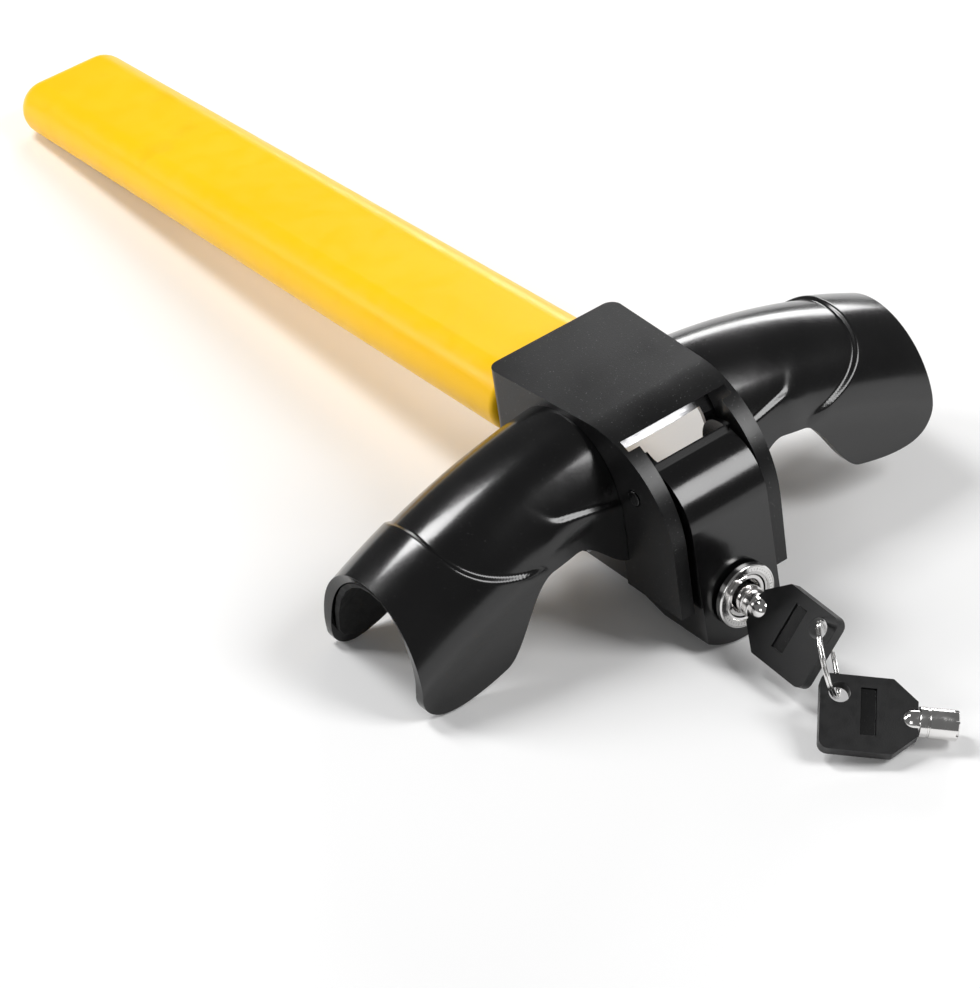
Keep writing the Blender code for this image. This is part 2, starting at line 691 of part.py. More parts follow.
def key_frame(name, neck, across, along):
    """An empty at the root of a key's barrel: local X across the grip, local Y towards the tip."""
    across = (across - along * across.dot(along)).normalized()
    turn = Matrix((across, along, across.cross(along))).transposed()
    return empty(name, REST, neck, turn.to_euler())


def build_key(prefix, frame):
    hole = arc(BOW_HOLE, BOW_HOLE_R, 0, -342, 19)
    place(flat_outline(prefix + "_bow", [bow_outline(), hole], BOW_T / 2, axis="Z"), PLASTIC, frame)
    tube = [(0, 5.6), (KEY_BORE_R, 5.6), (KEY_BORE_R, 12), (KEY_R - 0.3, 12), (KEY_R, 11.7),
            (KEY_R, 0.3), (0, 0.3)]
    barrel = turned(prefix + "_barrel", tube, closed=False, turn=(-math.pi / 2, 0, 0))
    place(barrel, CHROME, frame)


def seated_key_frame():
    """The key in the lock hangs a little in its play, about the middle of the plug's post."""
    droop, turn = math.radians(KEY_DROOP), math.radians(KEY_TURN)
    along = Vector((0, math.cos(droop), math.sin(droop)))
    seat = (POST_FRONT + BOW_FRONT - BARREL_LEN) / 2
    neck = Vector((0, -seat, LOCK_Z)) - along * (BOW_FRONT - seat)
    return key_frame("key_axis", neck, Vector((math.cos(turn), 0, math.sin(turn))), along)


def spare_key_frame():
    """The spare key lies on one edge of its grip, lifted by the ring at its hole."""
    up = REST.rotation_euler.to_matrix().transposed() @ Vector((0, 0, 1))
    azimuth, lean, dip = (math.radians(a) for a in (SPARE_AZIMUTH, SPARE_LEAN, SPARE_DIP))
    heading = Vector((math.cos(azimuth), math.sin(azimuth), 0))
    heading = (heading - up * heading.dot(up)).normalized()
    level = up.cross(heading)
    along = heading * math.cos(dip) - up * math.sin(dip)
    across = level * math.cos(lean) + along.cross(level) * math.sin(lean)
    return key_frame("spare_key_axis", SPARE_NECK, across, along)


def build_keys():
    build_key("key", seated_key_frame())
    build_key("spare_key", spare_key_frame())
    bpy.ops.mesh.primitive_torus_add(major_radius=RING_R * MM, minor_radius=RING_WIRE * MM,
                                     major_segments=40, minor_segments=8)
    ring = bpy.context.object
    ring.name = "key_ring"
    for collection in list(ring.users_collection):
        collection.objects.unlink(ring)
    LOCK.objects.link(ring)
    ring.rotation_euler = RING_NORMAL.to_track_quat("Z", "Y").to_euler()
    place(ring, CHROME, origin=RING_CENTRE)


build_saddle()
build_rim_channel()
build_cover()
build_bar()
build_jaw()
build_pivot()
build_lock()
build_bolt_work()
build_keys()
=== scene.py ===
"""Looks of the steering wheel lock: fine shells, lock face, keys, materials, studio and camera.

Every fine shape is made in the lock's own frame, in millimetres: X along the saddle, Y towards the
bar's free end, Z up, zero at the middle of the wheel's rim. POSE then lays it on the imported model.
"""

import json
import math

import bmesh
import bpy
from mathutils import Euler, Matrix, Vector


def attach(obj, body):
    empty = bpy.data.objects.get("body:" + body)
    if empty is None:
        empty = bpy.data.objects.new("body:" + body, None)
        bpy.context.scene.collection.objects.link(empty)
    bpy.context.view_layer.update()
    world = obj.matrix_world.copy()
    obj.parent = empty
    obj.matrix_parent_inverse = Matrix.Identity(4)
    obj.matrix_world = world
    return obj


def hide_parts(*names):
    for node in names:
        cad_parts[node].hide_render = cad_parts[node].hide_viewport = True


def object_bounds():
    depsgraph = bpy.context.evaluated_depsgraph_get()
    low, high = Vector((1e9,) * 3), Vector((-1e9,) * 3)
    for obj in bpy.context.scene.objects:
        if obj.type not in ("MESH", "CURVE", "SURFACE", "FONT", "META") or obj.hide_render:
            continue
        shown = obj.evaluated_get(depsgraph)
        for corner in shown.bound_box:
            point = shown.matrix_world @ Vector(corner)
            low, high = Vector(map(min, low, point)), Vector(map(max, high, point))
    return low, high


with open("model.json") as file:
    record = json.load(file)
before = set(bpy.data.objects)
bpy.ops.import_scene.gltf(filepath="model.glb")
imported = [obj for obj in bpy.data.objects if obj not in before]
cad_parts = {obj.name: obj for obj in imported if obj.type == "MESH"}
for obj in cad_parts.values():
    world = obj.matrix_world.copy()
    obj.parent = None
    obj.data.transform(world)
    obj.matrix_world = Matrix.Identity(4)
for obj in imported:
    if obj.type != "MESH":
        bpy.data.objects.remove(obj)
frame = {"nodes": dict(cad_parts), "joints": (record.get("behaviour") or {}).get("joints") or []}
cad_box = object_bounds()
JOINTS = {joint["name"]: joint for joint in frame["joints"]}
MM = 0.001

# Saddle and rim, as in the CAD model but for a thicker wall, which takes in the liner's outer part.
# A span is where along the arm a skirt's depth changes, and a corner is (length, height).
RIM_R = 205.0
PAD_SEAT_Z = 15.5
SADDLE_R = 24.0
SADDLE_WALL = 3.3
SADDLE_IN_X = 26.0
SADDLE_END_X = 102.0
SADDLE_END_SLOPE = -0.03
ARM_GAP = 0.15
ARM_EDGE = 1.1
CHEEK_SKIRT_DEPTH = 20.0
ARCH_SPAN = (24.0, 44.0)
ARCH_DEPTH = 4.0
LOBE_SPAN = (52.0, 72.0)
LOBE_DEPTH = 21.8
LOBE_CORNER = (38.0, 20.8)
BACK_ARCH_DEPTH = 12.0
BACK_LOBE_SPAN = (60.0, 80.0)
BACK_LOBE_DEPTH = 13.0
BACK_CORNER = (26.0, 12.0)

# The pressed panel of each arm: the step near the mouth, and the lower line beside the cheek
PRESS_HEIGHT = 1.2
PRESS_STEP = 0.9
PRESS_FADED_STEP = 9.0
PRESS_END_X = 83.0
PRESS_SWEEP = (20.0, 34.5)
PRESS_END_BLUR = 6.0
PRESS_END_FADE = 12.0
PRESS_LINE = (36.0, 28.0)
PRESS_LINE_LEN = 22.0
PRESS_LINE_SHARE = 0.8
PRESS_LINE_FADE_X = 46.0
PRESS_LINE_BLUR = 10.0
PRESS_LINE_FADE = 14.0

# Cover
COVER_TOP = 24.5
COVER_BACK = 34.0
COVER_FRONT = -46.5
COVER_W_BACK = 25.0
COVER_W_FRONT = 21.0
COVER_CORNER = 4.0
CHEEK_R = 34.0
CHEEK_LOW_FRONT = -33.5
CHEEK_LOW_BACK = -31.2
CHEEK_BACK_Y = -22.5
WALL_LOW = -6.0
WINDOW_HALF = 16.0
WINDOW_BACK = -29.0
PLATE_T = 2.5
BODY_HALF = 20.2
CHANNEL_R = 21.7
CHANNEL_MOUTH_Z = -2.0
COVER_EDGE = 0.9
COVER_LEAN = 3

# How far cutters reach that go right through, and by how much they run past what they meet
THROUGH_X = 40.0
THROUGH_JAW = 20.0
THROUGH = 60.0
TRIM_HALF = 70.0
TRIM_DROP = 12.0
TRIM_MARGIN = 2.0
OVERLAP = 0.01

# Bar
BAR_Y = 35.6
BAR_Z = 5.2
BAR_TILT = 0.84
BAR_END = 329.0
BAR_W = (24.2, 22.0)
BAR_T = (11.4, 10.2)
BAR_ROUND = 8.0
BAR_ROUND_SQUASH = 0.95
BAR_LIP = 2.5
BORE_W = 20.3
BORE_T = 7.8
BORE_END = 266.0
BORE_MARGIN = 5.0

# Jaw, pivot and lock
JAW_HALF = 14.7
JAW_WALL = 1.8
DRUM_Y, DRUM_Z, DRUM_R = -30.5, -5.2, 17.8
DRUM_START = 98
FACE_LOW_Y, FACE_LOW_Z = -50.0, -44.5
LIP_DROP = 4.8
LIP_LEN = 5.0
LIP_TRIM_HALF = 8.0
LIP_TRIM_Y = -46.0
JAW_UNDERSIDE = [(-38, -44.4), (-29, -44.4), (-15, -40), (12, -39.5), (15, -37), (15, -25)]
HOLLOW_UNDERSIDE = [(-48.1, -42.6), (-29.5, -42.6), (-15.5, -38.2), (11.5, -37.7), (13.2, -36),
                    (13.2, -10), (-8, 4)]
HOLLOW_TOP = 40.0
JAW_EDGE = 0.8
PIVOT_Y, PIVOT_Z = -31.0, 5.0
PIN_R = 2.5
PIN_GAP = 0.3
PIN_REACH = 22.05
PIN_CROWN = 0.35
BUSH_R = 3.9
EAR_R = 9.5
CRADLE_R = 20.9
COIL_R = 3.7
COIL_WIRE_R = 0.5
COIL_PITCH = 2.4
COIL_TURNS = 5
LOCK_Z = -33.0
LOCK_BORE_Y = (-60.0, -44.0)
BODY_R = 7.0
BODY_BORE_R = 5.65
BODY_FRONT, BODY_BACK = 51.9, 31.8
BODY_GAP = 0.35
FLANGE_R = 10.7
FLANGE_FRONT, FLANGE_BACK = 52.6, 50.4
FLANGE_ROUND = 0.6
FLANGE_CHAMFER = (0.1, 0.05)
DISH_LOW = 52.1
DISH_RIM = [(8.0, 52.25), (8.2, FLANGE_FRONT)]
GROOVE_RADII = (8.35, 9.95)
TICK_R = 9.15
TICK_COUNT = 48
TICK_HALF = (0.07, 0.22, 0.015)
LONG_TICK_HALF = 0.42
BOLT_LOW, BOLT_HIGH = -28.6, -23.3
BOLT_NEAR, BOLT_FAR = 26.2, 31.0
BOLT_POCKET = (15.0, 20.9)
BOLT_WINDOW = (10.0, 20.0)

# Keys and ring
KEY_TURN = 48.5
KEY_DROOP = 7.0
KEY_R = 4.7
KEY_BORE_R = 3.7
TUBE_FLOOR = 5.6
TUBE_CHAMFER = 0.35
TUBE_GROOVE = (3.4, 2.6)
TUBE_GROOVE_DEPTH = 0.3
TUBE_STEP = 0.2
TUBE_LOW = 0.5
ROOT_R = 3.6
ROOT_TOP = 0.25
ROOT_DEPTH = 1.4
CUT_COUNT = 7
CUT_R = 0.55
CUT_DEPTH = 0.5
CUT_DEPTH_STEP = 0.35
BARREL_LEN = 12.0
BOW_FRONT = 57.6
POST_FRONT = 50.9
BOW_NECK = 5.6
BOW_HALF = 12.2
BOW_SHOULDER = 7.4
BOW_LEN = 29.3
BOW_CORNER = 3.0
BOW_T = 4.0
BOW_EDGE = 0.45
BOW_NECK_DROP = 0.4
BOW_SHOULDER_R = 1.0
BOW_HOLE = (6.3, -23.5)
BOW_HOLE_R = 3.3
FIELD_LOW, FIELD_HIGH = (-6.8, -17.2), (8.5, -12.4)
FIELD_DEPTH = 0.7
INLAY_GAP = 0.2
INLAY_RISE = 0.15
INLAY_EDGE = 0.12
RING_R = 11.64
RING_CENTRE = Vector((-1.5, -90.6, -35.4))
RING_NORMAL = Vector((0.751, -0.636, 0.177))
RING_WIRE = 0.42
RING_TURNS = 1.92
RING_CROSSING = (0.44, 0.56)
RING_TIP = 0.55
RING_TAPER = 12.0
SPARE_NECK = Vector((8.65, -116.7, -50.45))
SPARE_AZIMUTH = -39.4
SPARE_LEAN = 24.2
SPARE_DIP = 5.7

# Points closer than this are one: before a bevel, in an outline, and on a turned part's axis
WELD = 0.004
CURVE_WELD = 0.002
AXIS_WELD = 0.001

# In metres, like all that follows: the CAD nodes' softened edges, and the floor
CAD_WELD = 0.00001
CAD_EDGE = 0.00012
FLOOR_GAP = 0.0003
FLOOR_HALF = 6.0

# Camera, about the middle of the rim: angles in degrees, the lens in millimetres
CAMERA_AZIMUTH = 37.352
CAMERA_ELEVATION = 37.699
CAMERA_ROLL = 0.194
CAMERA_DISTANCE = 1.1379
CAMERA_SLIDE = (-0.0421, -0.01665)
CAMERA_LENS = 135.09


def lock_pose():
    """From the lock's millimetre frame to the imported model: two joint axes and the rim's seat."""
    x_axis = Vector(JOINTS["bolt_slide"]["axis"])
    y_axis = Vector(JOINTS["plug_turn"]["axis"])
    turn = Matrix((x_axis, y_axis, x_axis.cross(y_axis))).transposed()
    seat = turn @ Vector((0, 0, PAD_SEAT_Z)) * MM
    return Matrix.Translation(-seat) @ turn.to_4x4() @ Matrix.Scale(MM, 4)


POSE = lock_pose()
BAR_AXES = Matrix.Translation((0, BAR_Y, BAR_Z)) @ Matrix.Rotation(math.radians(-BAR_TILT), 4, "X")


# ---- materials ----------------------------------------------------------------------------------

class Look:
    """One procedural material: a Principled shader and the nodes that vary it over the surface."""

    def __init__(self, name, metallic=0.0):
        self.mat = bpy.data.materials.new(name)
        self.mat.use_nodes = True
        self.tree = self.mat.node_tree
        self.shader = self.tree.nodes["Principled BSDF"]
        self.shader.inputs["Metallic"].default_value = metallic
        self.place = self.tree.nodes.new("ShaderNodeTexCoord").outputs["Object"]

    def node(self, kind, **settings):
        node = self.tree.nodes.new(kind)
        for key, value in settings.items():
            setattr(node, key, value)
        return node

    def link(self, source, target):
        self.tree.links.new(source, target)

    def mapped(self, scale, rotation=(0, 0, 0)):
        mapping = self.node("ShaderNodeMapping")
        mapping.inputs["Scale"].default_value = scale
        mapping.inputs["Rotation"].default_value = rotation
        self.link(self.place, mapping.inputs["Vector"])
        return mapping.outputs["Vector"]

    def noise(self, scale, detail=3.0, vector=None):
        noise = self.node("ShaderNodeTexNoise")
        noise.inputs["Scale"].default_value = scale
        noise.inputs["Detail"].default_value = detail
        self.link(vector or self.place, noise.inputs["Vector"])
        return noise.outputs["Fac"]

    def spread(self, value, low, high, start=0.35, end=0.65):
        """Map a noise value from start..end to low..high."""
        span = self.node("ShaderNodeMapRange")
        for key, number in zip(("From Min", "From Max", "To Min", "To Max"), (start, end, low, high)):
            span.inputs[key].default_value = number
        self.link(value, span.inputs["Value"])
        return span.outputs["Result"]

    def mix(self, factor, first, second):
        mix = self.node("ShaderNodeMix", data_type="RGBA")
        self.link(factor, mix.inputs["Factor"])
        for socket, value in ((mix.inputs[6], first), (mix.inputs[7], second)):
            if isinstance(value, tuple):
                socket.default_value = (*value, 1.0)
            else:
                self.link(value, socket)
        return mix.outputs[2]

    def calculate(self, operation, first, second):
        node = self.node("ShaderNodeMath", operation=operation)
        for socket, value in zip(node.inputs, (first, second)):
            if isinstance(value, (int, float)):
                socket.default_value = value
            else:
                self.link(value, socket)
        return node.outputs["Value"]

    def colour(self, value):
        self.link(value, self.shader.inputs["Base Color"])

    def roughness(self, value):
        self.link(value, self.shader.inputs["Roughness"])

    def bump(self, height, distance, strength):
        bump = self.node("ShaderNodeBump")
        bump.inputs["Strength"].default_value = strength
        bump.inputs["Distance"].default_value = distance
        self.link(height, bump.inputs["Height"])
        self.link(bump.outputs["Normal"], self.shader.inputs["Normal"])

    def specular(self, level):
        self.shader.inputs["Specular IOR Level"].default_value = level

    def coat(self, weight, roughness):
        self.shader.inputs["Coat Weight"].default_value = weight
        self.shader.inputs["Coat Roughness"].default_value = roughness


def gloss_black():
    """Deep gloss paint over pressed steel: slight orange peel, faint wiped haze, a few dust specks."""
    look = Look("gloss_black_paint")
    haze = look.noise(38.0, detail=4.0)
    dust = look.spread(look.noise(2600.0, detail=1.0), 0.0, 1.0, start=0.77, end=0.80)
    base = look.mix(haze, (0.0016, 0.0016, 0.0018), (0.0034, 0.0033, 0.0035))
    look.colour(look.mix(dust, base, (0.10, 0.10, 0.10)))
    look.roughness(look.spread(haze, 0.17, 0.25))
    look.bump(look.noise(260.0, detail=2.0), distance=0.00012, strength=0.25)
    look.coat(weight=0.25, roughness=0.10)
    return look.mat


def satin_black():
    """Fine powder coat: a tight grain in the gloss and a scatter of paler grains."""
    look = Look("satin_black_powder_coat")
    grain = look.noise(2600.0, detail=2.0)
    specks = look.spread(look.noise(2200.0, detail=1.0), 0.0, 1.0, start=0.72, end=0.76)
    cloud = look.noise(45.0)
    base = look.mix(cloud, (0.0035, 0.0035, 0.0038), (0.0065, 0.0065, 0.0068))
    look.colour(look.mix(specks, base, (0.13, 0.13, 0.13)))
    look.roughness(look.spread(cloud, 0.28, 0.36))
    look.bump(grain, distance=0.00008, strength=0.45)
    look.specular(0.38)
    return look.mat


def yellow_sleeve():
    """Satin yellow skin on foam: fine pores, slow colour drift and faintly handled patches."""
    look = Look("yellow_foam_skin")
    drift = look.noise(16.0, detail=4.0)
    stain = look.spread(look.noise(55.0, detail=5.0), 0.0, 0.35, start=0.62, end=0.80)
    base = look.mix(drift, (0.94, 0.51, 0.001), (1.0, 0.59, 0.0015))
    look.colour(look.mix(stain, base, (0.82, 0.41, 0.0015)))
    look.roughness(look.spread(look.noise(120.0, detail=4.0), 0.30, 0.42))
    pores = look.calculate("MULTIPLY", look.noise(2200.0), 0.35)
    swell = look.noise(60.0, detail=2.0)
    look.bump(look.calculate("ADD", pores, swell), distance=0.00025, strength=0.25)
    look.specular(0.3)
    return look.mat


def plated(name, tint, low, high):
    """Bright plating with fine wiped scratches and a little uneven haze."""
    look = Look(name, metallic=1.0)
    haze = look.noise(180.0)
    scratch_way = look.mapped(scale=(1.0, 9.0, 1.0), rotation=(0.3, 0.5, 0.8))
    lines = look.noise(700.0, detail=2.0, vector=scratch_way)
    look.colour(look.mix(haze, tuple(c * 0.88 for c in tint), tint))
    worn = look.calculate("MULTIPLY", haze, look.calculate("ADD", lines, 0.5))
    look.roughness(look.spread(worn, low, high))
    look.bump(lines, distance=0.00003, strength=0.25)
    return look.mat


def brushed(name, dark, light, roughness):
    """Bare metal with a drawn-out grain along X and slow stains."""
    look = Look(name, metallic=1.0)
    lines = look.noise(260.0, detail=5.0, vector=look.mapped(scale=(1.0, 14.0, 14.0)))
    stain = look.noise(70.0)
    look.colour(look.mix(stain, dark, light))
    look.roughness(look.spread(lines, roughness - 0.08, roughness + 0.10))
    look.bump(lines, distance=0.00005, strength=0.35)
    return look.mat


def matt(name, dark, light, roughness, grain_scale, grain_height):
    """Rubber or moulded plastic: moulded grain and a slow change of tone."""
    look = Look(name)
    tone = look.noise(60.0)
    look.colour(look.mix(tone, dark, light))
    look.roughness(look.spread(look.noise(300.0), *roughness))
    look.bump(look.noise(grain_scale, detail=2.0), grain_height, strength=0.5)
    look.specular(0.35)
    return look.mat


GLOSS = gloss_black()
SATIN = satin_black()
YELLOW = yellow_sleeve()
CHROME = plated("chrome_plating", (0.86, 0.85, 0.84), 0.05, 0.20)
STEEL = brushed("plain_steel", (0.30, 0.30, 0.31), (0.46, 0.46, 0.47), 0.34)
BRASS = brushed("brass", (0.55, 0.38, 0.14), (0.72, 0.54, 0.24), 0.28)
RUBBER = matt("black_rubber", (0.010, 0.010, 0.010), (0.020, 0.020, 0.020), (0.65, 0.85), 1800.0, 0.0001)
PLASTIC = matt("black_plastic", (0.004, 0.004, 0.0043), (0.008, 0.008, 0.0085), (0.32, 0.44),
               2400.0, 0.00006)
MARKS = matt("etched_mark", (0.03, 0.03, 0.03), (0.06, 0.06, 0.06), (0.5, 0.6), 2000.0, 0.00002)


# ---- shape helpers, in millimetres --------------------------------------------------------------

def arc(centre, radius, first, last, count):
    """Points on an arc, angles in degrees from the first axis towards the second."""
    points = []
    for i in range(count + 1):
        angle = math.radians(first + (last - first) * i / count)
        points.append((centre[0] + radius * math.cos(angle), centre[1] + radius * math.sin(angle)))
    return points


def ease(value, start, end, first, last):
    """Smooth cosine change from first to last as value goes from start to end."""
    t = min(max((value - start) / (end - start), 0.0), 1.0)
    return first + (last - first) * (1 - math.cos(math.pi * t)) / 2


def link_mesh(name, mesh):
    obj = bpy.data.objects.new(name, mesh)
    bpy.context.scene.collection.objects.link(obj)
    return obj


def from_bmesh(name, bm, recalculate=True):
    if recalculate:
        bmesh.ops.recalc_face_normals(bm, faces=bm.faces)
    mesh = bpy.data.meshes.new(name)
    bm.to_mesh(mesh)
    bm.free()
    return link_mesh(name, mesh)


def bake(obj):
    """Swap obj for a mesh object with its modifiers applied."""
    bpy.context.view_layer.update()
    depsgraph = bpy.context.evaluated_depsgraph_get()
    mesh = bpy.data.meshes.new_from_object(obj.evaluated_get(depsgraph))
    name = obj.name
    bpy.data.objects.remove(obj, do_unlink=True)
    return link_mesh(name, mesh)


def outline(name, loops, half, axis="X"):
    """A plate of thickness 2*half: axis X takes (y, z) points, axis Y (x, z), axis Z (x, y)."""
    curve = bpy.data.curves.new(name, "CURVE")
    curve.dimensions = "2D"
    curve.fill_mode = "BOTH"
    curve.extrude = half
    for loop in loops:
        spline = curve.splines.new("POLY")
        spline.points.add(len(loop) - 1)
        for point, (u, v) in zip(spline.points, loop):
            point.co = (u, v, 0.0, 1.0)
        spline.use_cyclic_u = True
    obj = bake(link_mesh(name, curve))
    bm = bmesh.new()
    bm.from_mesh(obj.data)
    bmesh.ops.remove_doubles(bm, verts=bm.verts, dist=CURVE_WELD)
    bmesh.ops.recalc_face_normals(bm, faces=bm.faces)
    bm.to_mesh(obj.data)
    bm.free()
    turns = {"X": (math.pi / 2, 0, math.pi / 2), "Y": (math.pi / 2, 0, 0), "Z": (0, 0, 0)}
    obj.data.transform(Euler(turns[axis]).to_matrix().to_4x4())
    return obj


def block(low, high):
    bm = bmesh.new()
    bmesh.ops.create_cube(bm, size=1.0)
    size = [b - a for a, b in zip(low, high)]
    bmesh.ops.transform(bm, matrix=Matrix.Diagonal((*size, 1.0)), verts=bm.verts)
    bmesh.ops.translate(bm, vec=[(a + b) / 2 for a, b in zip(low, high)], verts=bm.verts)
    return from_bmesh("cutter", bm)


def rod(radius, start, end, segments=48):
    start, end = Vector(start), Vector(end)
    bm = bmesh.new()
    bmesh.ops.create_cone(bm, cap_ends=True, segments=segments, radius1=radius, radius2=radius,
                          depth=(end - start).length)
    turn = (end - start).to_track_quat("Z", "Y").to_matrix().to_4x4()
    bmesh.ops.transform(bm, matrix=Matrix.Translation((start + end) / 2) @ turn, verts=bm.verts)
    return from_bmesh("cutter", bm)


def turned(name, profile, steps=96, closed=True):
    """A Screw body from (radius, height) points that run down its outer side, its axis along local Z."""
    mesh = bpy.data.meshes.new(name)
    edges = [(i, i + 1) for i in range(len(profile) - 1)]
    if closed:
        edges.append((len(profile) - 1, 0))
    mesh.from_pydata([(r, 0.0, h) for r, h in profile], edges, [])
    obj = link_mesh(name, mesh)
    screw = obj.modifiers.new("turn", "SCREW")
    screw.steps = steps
    screw.render_steps = steps
    screw.use_merge_vertices = True
    screw.merge_threshold = AXIS_WELD
    return bake(obj)


def combine(obj, others, operation):
    """Cut or intersect obj with each other solid, then remove those."""
    for other in others:
        modifier = obj.modifiers.new("cut", "BOOLEAN")
        modifier.object = other
        modifier.operation = operation
        modifier.solver = "EXACT"
    result = bake(obj)
    for other in others:
        bpy.data.objects.remove(other, do_unlink=True)
    return result


def cut(obj, *others):
    return combine(obj, others, "DIFFERENCE")


def soften(obj, width, segments=3, angle=32.0):
    """Round the edges that are sharper than angle."""
    weld = obj.modifiers.new("weld", "WELD")
    weld.merge_threshold = WELD
    bevel = obj.modifiers.new("edge", "BEVEL")
    bevel.width = width
    bevel.segments = segments
    bevel.limit_method = "ANGLE"
    bevel.angle_limit = math.radians(angle)
    return bake(obj)


def joined(name, parts):
    bm = bmesh.new()
    for part in parts:
        bm.from_mesh(part.data)
        bpy.data.objects.remove(part, do_unlink=True)
    return from_bmesh(name, bm)


def wire(name, points, radius, tapers=None):
    """A round wire with capped ends through every point, its radius times each point's taper."""
    curve = bpy.data.curves.new(name, "CURVE")
    curve.dimensions = "3D"
    curve.bevel_depth = radius
    curve.bevel_resolution = 4
    curve.use_fill_caps = True
    spline = curve.splines.new("POLY")
    spline.points.add(len(points) - 1)
    for i, (point, place) in enumerate(zip(spline.points, points)):
        point.co = (*place, 1.0)
        point.radius = tapers[i] if tapers else 1.0
    return bake(link_mesh(name, curve))


def finish_piece(obj, body, mat, nodes=(), place=None, sharp_angle=34.0):
    """Lay a finished shape on the model, shade it, tie it to its body, and hide the CAD nodes it shows.
    """
    obj.data.transform(POSE @ place if place else POSE)
    obj.data.shade_smooth()
    obj.data.set_sharp_from_angle(angle=math.radians(sharp_angle))
    normals = obj.modifiers.new("even_shading", "WEIGHTED_NORMAL")
    normals.keep_sharp = True
    obj.data.materials.clear()
    obj.data.materials.append(mat)
    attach(obj, body)
    if nodes:
        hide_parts(*nodes)


# ---- saddle arms --------------------------------------------------------------------------------

def cover_half_width(y):
    share = (y - COVER_FRONT) / (COVER_BACK - COVER_FRONT)
    return COVER_W_FRONT + (COVER_W_BACK - COVER_W_FRONT) * share


def lobe_corner(x, corner):
    """How much of a skirt's depth its elliptical end corner takes away."""
    length, height = corner
    reach = x - (SADDLE_END_X - length)
    if reach <= 0:
        return 0.0
    return height * (1 - math.sqrt(max(1 - (reach / length) ** 2, 0.0)))


def front_depth(x):
    arch = ease(x, *ARCH_SPAN, CHEEK_SKIRT_DEPTH, ARCH_DEPTH)
    return ease(x, *LOBE_SPAN, arch, LOBE_DEPTH) - lobe_corner(x, LOBE_CORNER)


def back_depth(x):
    return ease(x, *BACK_LOBE_SPAN, BACK_ARCH_DEPTH, BACK_LOBE_DEPTH) - lobe_corner(x, BACK_CORNER)


def pressed_out(x, round_way):
    """How far the arm stands proud of its plain panel, round_way is the way round from the crown.

    The panel ends in a step across the arm near its mouth, which sweeps inwards down the side, and
    in a short step low beside the cheek. Both steps fade out at their far ends.
    """
    q = abs(round_way)
    sweep, reach = PRESS_SWEEP
    end_x = PRESS_END_X - sweep * (q / reach) ** 3
    end_soft = ease(q, reach, reach + PRESS_END_BLUR, PRESS_STEP, PRESS_FADED_STEP)
    end_share = ease(q, reach, reach + PRESS_END_FADE, 1, 0)
    beyond_end = ease(x, end_x - end_soft, end_x + end_soft, 0, end_share)
    near, far = PRESS_LINE
    line = near + (far - near) * (x - SADDLE_IN_X) / PRESS_LINE_LEN
    fade_x = PRESS_LINE_FADE_X
    line_soft = ease(x, fade_x, fade_x + PRESS_LINE_BLUR, PRESS_STEP, PRESS_FADED_STEP)
    line_share = ease(x, fade_x, fade_x + PRESS_LINE_FADE, PRESS_LINE_SHARE, 0)
    below_line = ease(q, line - line_soft, line + line_soft, 0, line_share)
    return PRESS_HEIGHT * max(beyond_end, below_line)


def arm_profile(front, back, flank, crown):
    """(y direction, height direction, depth below, way from the crown) round the arm's section."""
    quarter = SADDLE_R * math.pi / 2
    profile = []
    for k in range(flank):
        depth = front * (1 - k / flank)
        profile.append((-1.0, 0.0, depth, -quarter - depth))
    for k in range(crown + 1):
        angle = math.pi * k / crown
        profile.append((-math.cos(angle), math.sin(angle), 0.0, (angle - math.pi / 2) * SADDLE_R))
    for k in range(1, flank + 1):
        depth = back * k / flank
        profile.append((1.0, 0.0, depth, quarter + depth))
    return profile


def build_arm(name, side, stations=190, crowding=1.4, flank=30, crown=120):
    """A skin through many sections, which crowd together towards the mouth, made solid inwards."""
    bm = bmesh.new()
    grid = []
    for i in range(stations + 1):
        t = 1 - (1 - i / stations) ** crowding
        x_mid = SADDLE_IN_X + t * (SADDLE_END_X - SADDLE_IN_X)
        row = []
        for out_y, out_z, depth, way in arm_profile(front_depth(x_mid), back_depth(x_mid), flank, crown):
            radius = SADDLE_R + pressed_out(x_mid, way)
            height = radius * out_z - depth
            end_x = SADDLE_END_X + SADDLE_END_SLOPE * height
            start_x = cover_half_width(radius * out_y) + ARM_GAP
            x = start_x + t * (end_x - start_x)
            z = math.sqrt((RIM_R + height) ** 2 - x ** 2) - RIM_R
            row.append(bm.verts.new((side * x, radius * out_y, z)))
        grid.append(row)
    for near, far in zip(grid, grid[1:]):
        for k in range(len(near) - 1):
            quad = (near[k], far[k], far[k + 1], near[k + 1])
            bm.faces.new(quad if side > 0 else quad[::-1])
    arm = from_bmesh(name, bm, recalculate=False)
    wall = arm.modifiers.new("wall", "SOLIDIFY")
    wall.thickness = SADDLE_WALL
    wall.offset = -1.0
    arm = soften(bake(arm), ARM_EDGE, segments=4, angle=50)
    node = "saddle_left" if side < 0 else "saddle_right"
    finish_piece(arm, "saddle_and_bar", GLOSS, [node], sharp_angle=60)


# ---- cover --------------------------------------------------------------------------------------

